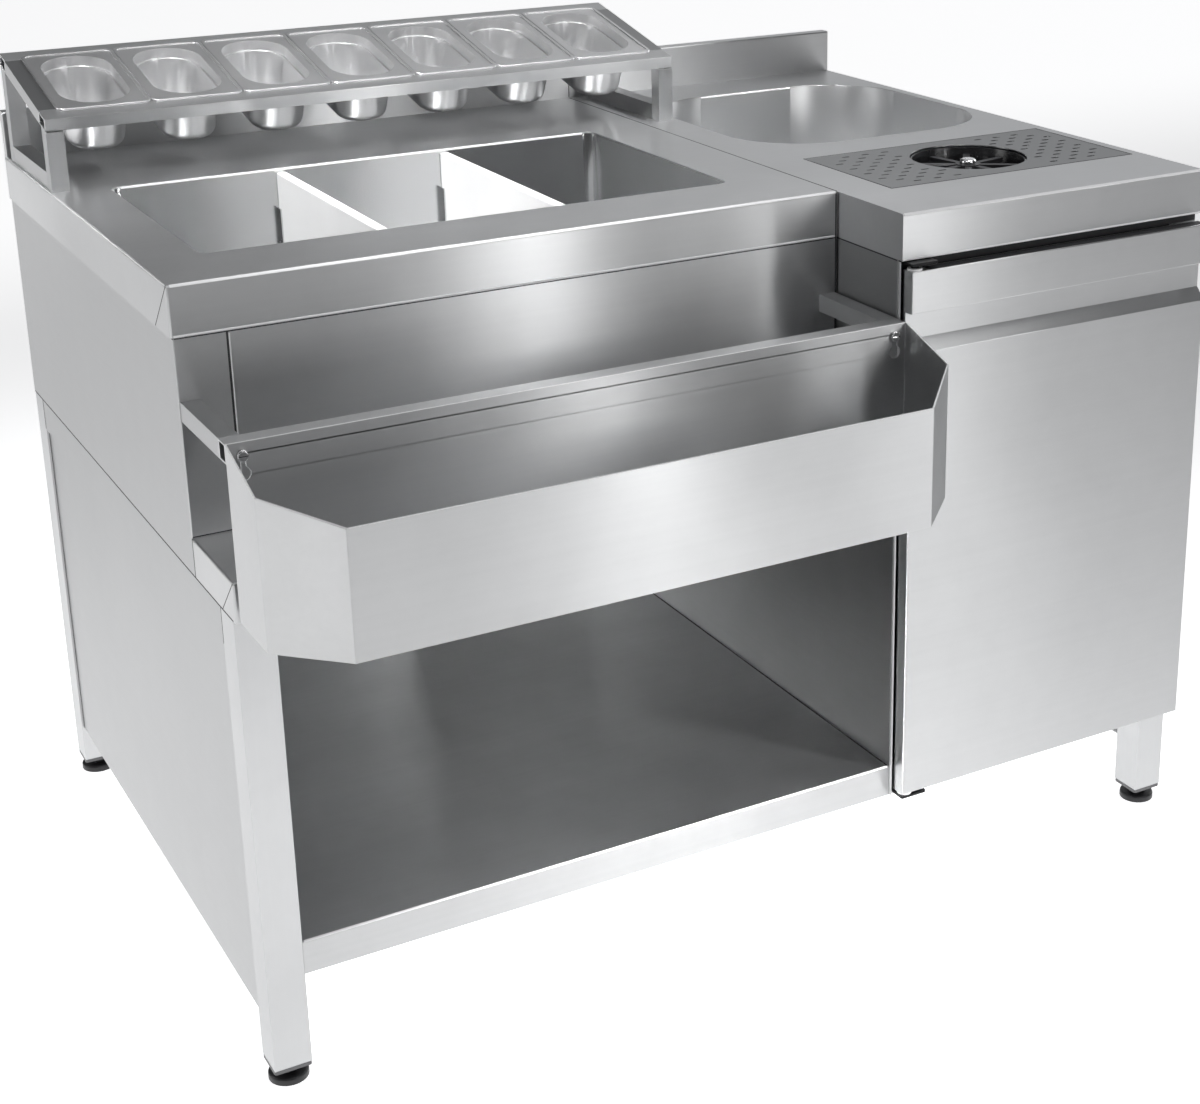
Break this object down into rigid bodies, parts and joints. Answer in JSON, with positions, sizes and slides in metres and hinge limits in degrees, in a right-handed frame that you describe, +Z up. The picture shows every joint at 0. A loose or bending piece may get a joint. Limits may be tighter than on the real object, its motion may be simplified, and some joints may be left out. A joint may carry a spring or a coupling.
{
  "type": "cocktail station",
  "caption": "Stainless bar cocktail station with divided ice well, sloped garnish pan rail, speed rail, sink, glass rinser, open shelf and hinged cupboard on levelling legs.",
  "frame": {"origin": "middle of the footprint on the floor", "axes": "+X to the right seen from the front, +Y to the back, +Z up; the door and speed rail face -Y"},
  "size_m": [1.18, 0.9832, 0.955],
  "materials": {
    "steel": "fine brushed stainless steel",
    "pan_steel": "pressed satin stainless steel",
    "tub_steel": "satin stainless steel",
    "bright_steel": "polished",
    "white_plastic": "smooth matt",
    "dark_plastic": "matt",
    "foam": "rigid insulation foam"
  },
  "bodies": {
    "base": {"worktop_left": "steel", "worktop_right": "steel", "well_tub": "tub_steel", "well_foam": "foam", "well_waste": "bright_steel", "divider_clips": "tub_steel", "foot_caps": "dark_plastic", "side_rail": "steel", "cross_rails": "steel", "side_panel_lower": "steel", "side_panel_right": "steel", "side_panel_upper": "steel", "well_front_panel": "steel", "back_panel_upper": "steel", "back_panel_lower": "steel", "back_panel_right": "steel", "partition": "steel", "deck": "steel", "shelf": "steel", "cupboard_floor": "steel", "cupboard_top_bar": "steel", "rail_bars": "steel", "rail_side_bars": "steel", "rail_posts": "steel", "rail_sills": "steel", "arms": "steel", "arm_bar": "steel", "hang_screws": "bright_steel", "sink_bowl": "tub_steel", "sink_waste": "bright_steel", "rinser_basin": "tub_steel", "rinser_base": "bright_steel", "rinser_cup": "dark_plastic", "hinge_plates": "bright_steel", "door_catch": "dark_plastic", "leg_front_left": "steel", "leg_front_right": "steel", "leg_back_left": "steel", "leg_back_right": "steel"},
    "door": {"door_outer": "steel", "door_inner": "steel", "door_striker": "steel", "hinge_bushes": "white_plastic"},
    "speed_rail": {"speed_rail": "steel"},
    "drip_cover": {"drip_cover": "steel"},
    "rinser": {"rinser_spider": "dark_plastic", "rinser_nozzle": "bright_steel"},
    "pan_1": {"pan_1": "pan_steel"},
    "pan_2": {"pan_2": "pan_steel"},
    "pan_3": {"pan_3": "pan_steel"},
    "pan_4": {"pan_4": "pan_steel"},
    "pan_5": {"pan_5": "pan_steel"},
    "pan_6": {"pan_6": "pan_steel"},
    "pan_7": {"pan_7": "pan_steel"},
    "divider_1": {"divider_1": "white_plastic"},
    "divider_2": {"divider_2": "white_plastic"},
    "foot_front_left": {"foot_front_left": "dark_plastic"},
    "foot_front_right": {"foot_front_right": "dark_plastic"},
    "foot_back_left": {"foot_back_left": "dark_plastic"},
    "foot_back_right": {"foot_back_right": "dark_plastic"}
  },
  "joints": [
    {"name": "door_hinge", "type": "hinge", "parent": "base", "child": "door", "pos_m": [0.179, -0.3429, 0.446], "axis": [0, 0, -1], "range_deg": [0, 90]},
    {"name": "speed_rail_lift", "type": "slide", "parent": "base", "child": "speed_rail", "axis": [0, 0, 1], "range_m": [0, 0.018]},
    {"name": "drip_cover_lift", "type": "slide", "parent": "base", "child": "drip_cover", "axis": [0, 0, 1], "range_m": [0, 0.06]},
    {"name": "rinser_press", "type": "slide", "parent": "base", "child": "rinser", "axis": [0, 0, -1], "range_m": [0, 0.005], "stiffness_N_per_m": 1000, "springref_m": -0.005},
    {"name": "pan_1_lift", "type": "slide", "parent": "base", "child": "pan_1", "axis": [0, -0.2147, 0.9767], "range_m": [0, 0.12]},
    {"name": "pan_2_lift", "type": "slide", "parent": "base", "child": "pan_2", "axis": [0, -0.2147, 0.9767], "range_m": [0, 0.12]},
    {"name": "pan_3_lift", "type": "slide", "parent": "base", "child": "pan_3", "axis": [0, -0.2147, 0.9767], "range_m": [0, 0.12]},
    {"name": "pan_4_lift", "type": "slide", "parent": "base", "child": "pan_4", "axis": [0, -0.2147, 0.9767], "range_m": [0, 0.12]},
    {"name": "pan_5_lift", "type": "slide", "parent": "base", "child": "pan_5", "axis": [0, -0.2147, 0.9767], "range_m": [0, 0.12]},
    {"name": "pan_6_lift", "type": "slide", "parent": "base", "child": "pan_6", "axis": [0, -0.2147, 0.9767], "range_m": [0, 0.12]},
    {"name": "pan_7_lift", "type": "slide", "parent": "base", "child": "pan_7", "axis": [0, -0.2147, 0.9767], "range_m": [0, 0.12]},
    {"name": "divider_1_lift", "type": "slide", "parent": "base", "child": "divider_1", "axis": [0, 0, 1], "range_m": [0, 0.24]},
    {"name": "divider_2_lift", "type": "slide", "parent": "base", "child": "divider_2", "axis": [0, 0, 1], "range_m": [0, 0.24]},
    {"name": "foot_front_left_turn", "type": "hinge", "parent": "base", "child": "foot_front_left", "pos_m": [-0.568, -0.3094, 0.012], "axis": [0, 0, 1], "continuous": true},
    {"name": "foot_front_right_turn", "type": "hinge", "parent": "base", "child": "foot_front_right", "pos_m": [0.568, -0.3094, 0.012], "axis": [0, 0, 1], "continuous": true},
    {"name": "foot_back_left_turn", "type": "hinge", "parent": "base", "child": "foot_back_left", "pos_m": [-0.568, 0.4666, 0.012], "axis": [0, 0, 1], "continuous": true},
    {"name": "foot_back_right_turn", "type": "hinge", "parent": "base", "child": "foot_back_right", "pos_m": [0.568, 0.4666, 0.012], "axis": [0, 0, 1], "continuous": true}
  ]
}
